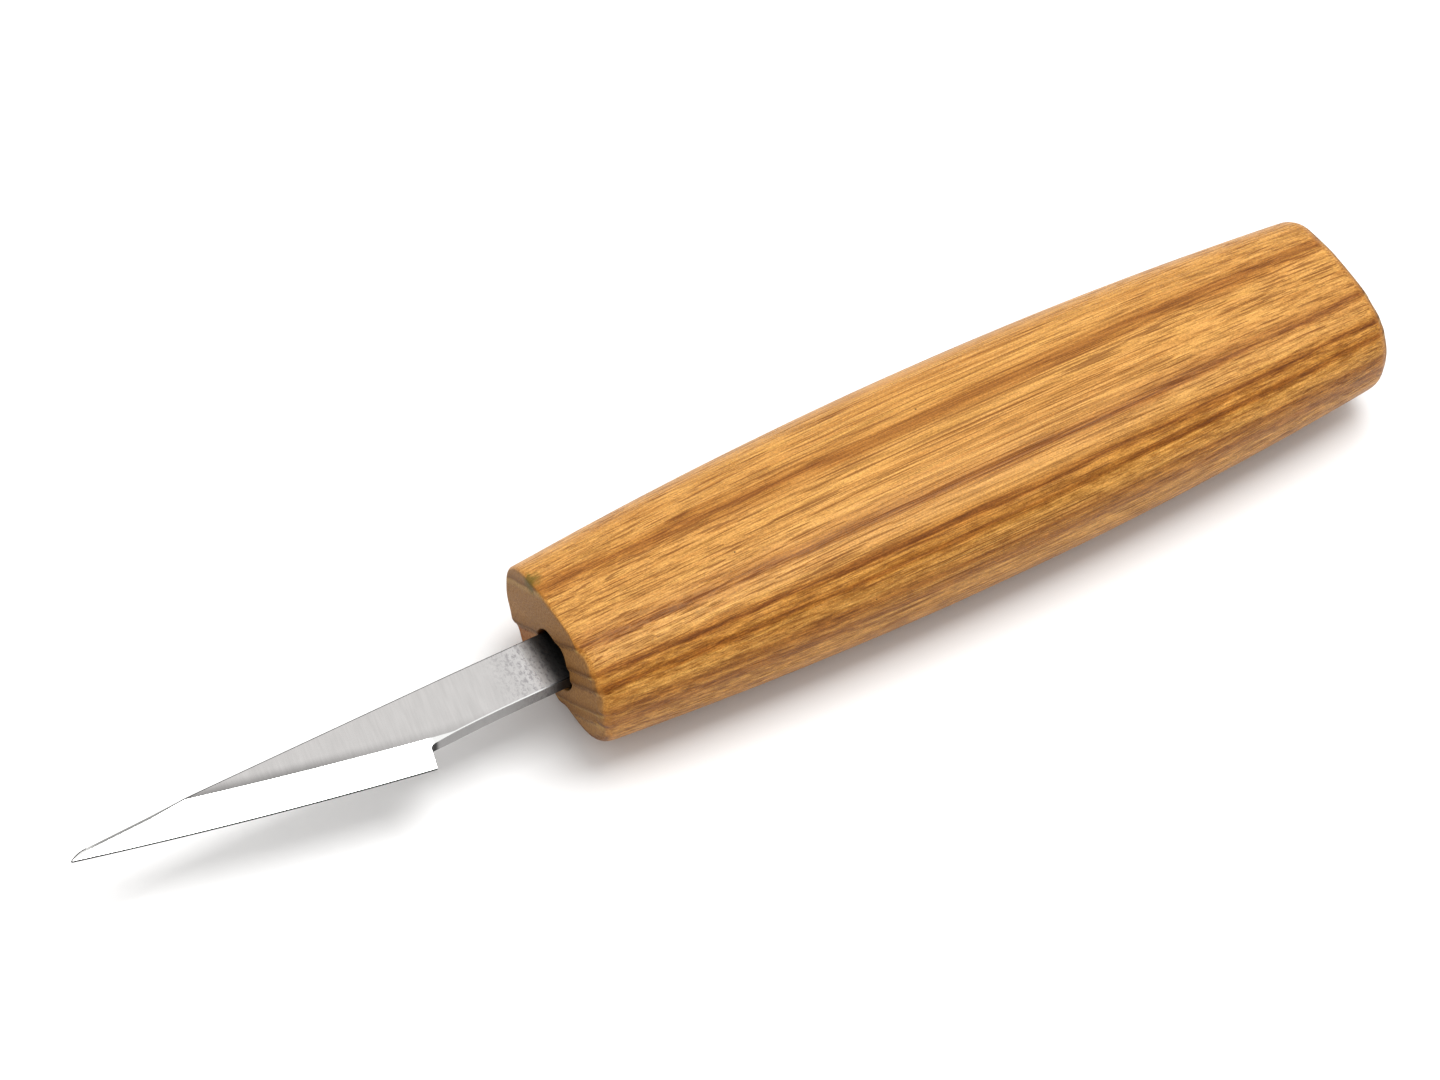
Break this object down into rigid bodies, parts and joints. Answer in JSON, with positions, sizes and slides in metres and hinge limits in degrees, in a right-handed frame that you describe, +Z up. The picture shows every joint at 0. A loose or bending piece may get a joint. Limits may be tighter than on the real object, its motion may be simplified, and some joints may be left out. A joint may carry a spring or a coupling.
{
  "type": "whittling knife",
  "caption": "Fixed-blade whittling knife with a short straight-edged detail blade glued into a barrel-shaped ash handle.",
  "frame": {"origin": "on the surface that the knife lies on, under the middle of the whole knife and of the handle's width", "axes": "+X along the handle towards the butt (the point is towards -X), +Y from the cutting edge towards the spine, +Z up through the handle's thickness"},
  "size_m": [0.17, 0.0286, 0.0198],
  "materials": {
    "blade_steel": "satin ground flats, polished bevels",
    "oiled_ash": "sanded and oiled, satin",
    "epoxy": "set resin, glossy"
  },
  "bodies": {
    "root": {"blade": "blade_steel", "handle": "oiled_ash", "epoxy_bond": "epoxy"}
  },
  "joints": []
}
